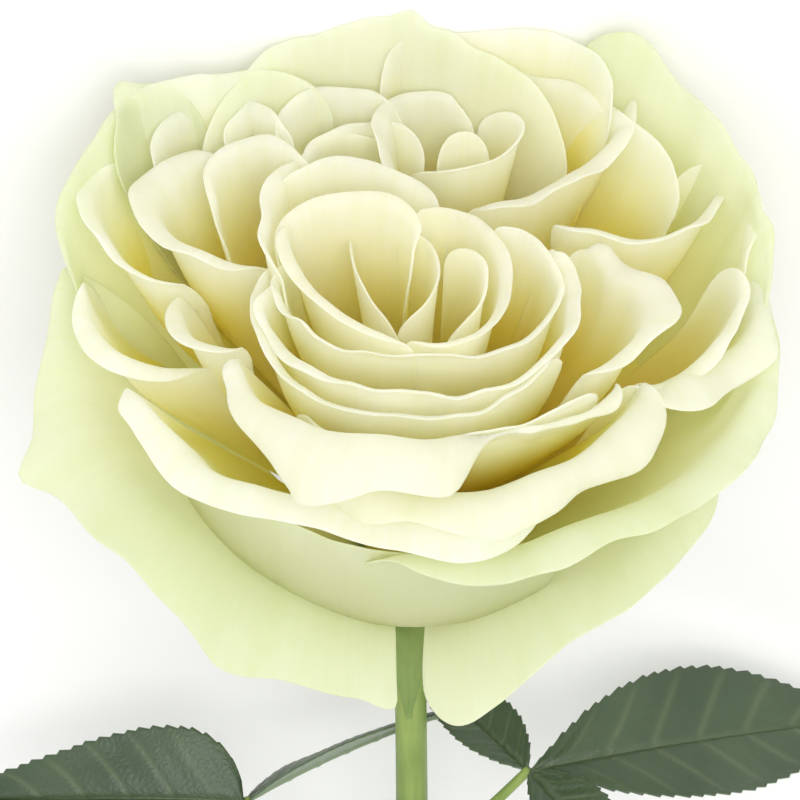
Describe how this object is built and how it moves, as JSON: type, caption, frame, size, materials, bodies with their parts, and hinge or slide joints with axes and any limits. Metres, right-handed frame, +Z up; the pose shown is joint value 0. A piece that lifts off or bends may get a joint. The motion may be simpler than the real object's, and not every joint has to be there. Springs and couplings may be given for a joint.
{
  "type": "cut rose",
  "caption": "Cut rose lying down: a wide, quartered cream-white bloom with swirled, rolled-back petals on a long green stem with compound leaves",
  "frame": {"origin": "bottom centre of the bounding box, on the surface that the flower lies on", "axes": "+Z up from the surface, Y along the stem with the bloom at +Y and the cut end at -Y, X across the bloom"},
  "size_m": [0.1724, 0.339, 0.0838],
  "materials": {
    "petal_white": "soft, velvety cream-white petal, yellower in its depths",
    "petal_heart": "soft pale-yellow petal of the bloom's centre",
    "petal_green": "outer petal, cream flushed with pale green and finely veined",
    "calyx": "satin green sepal and receptacle",
    "stem": "smooth satin green stem, yellower on one side",
    "leaf": "glossy dark grey-green leaflet with sunken veins"
  },
  "bodies": {
    "root": {"receptacle": "calyx", "petal_core_hood": "petal_heart", "petal_core_wrap": "petal_heart", "petal_heart_inner": "petal_heart", "petal_heart_right": "petal_heart", "petal_heart_left": "petal_heart", "petal_heart_fold": "petal_heart", "petal_ring_first": "petal_white", "petal_ring_second": "petal_white", "petal_ring_third": "petal_white", "petal_ring_fourth": "petal_white", "petal_centre_left": "petal_white", "petal_centre_back": "petal_white", "petal_back_pocket": "petal_white", "petal_swirl_back_core": "petal_heart", "petal_swirl_back_front": "petal_white", "petal_swirl_back_left": "petal_white", "petal_swirl_back_ruffle": "petal_white", "petal_swirl_back_wall": "petal_white", "petal_swirl_left_inner": "petal_white", "petal_swirl_left_lip": "petal_white", "petal_swirl_left_wall": "petal_white", "petal_left_pocket": "petal_white", "petal_left_white": "petal_white", "petal_left_lower": "petal_white", "petal_back_white": "petal_white", "petal_back_fold": "petal_white", "petal_right_cup": "petal_white", "petal_right_fan_inner": "petal_white", "petal_right_fan_middle": "petal_white", "petal_right_fan_outer": "petal_white", "petal_right_white": "petal_white", "petal_outer_right": "petal_green", "petal_outer_back_white": "petal_white", "petal_outer_back": "petal_green", "petal_outer_left_pale": "petal_green", "petal_outer_left_tip": "petal_green", "petal_outer_left": "petal_green", "petal_front_lip_upper": "petal_white", "petal_front_lip_middle": "petal_white", "petal_front_lip_lower": "petal_white", "petal_front_body": "petal_green", "petal_front_lip_right": "petal_green", "petal_guard_left": "petal_green", "petal_guard_right": "petal_green", "sepal_first": "calyx", "sepal_second": "calyx", "sepal_third": "calyx", "sepal_fourth": "calyx", "sepal_fifth": "calyx", "stem": "stem", "leaf_right_stalk": "leaf", "leaf_right_tip": "leaf", "leaf_right_back": "leaf", "leaf_right_front": "leaf", "leaf_left_stalk": "leaf", "leaf_left_tip": "leaf", "leaf_left_back": "leaf", "leaf_left_front": "leaf"}
  },
  "joints": []
}
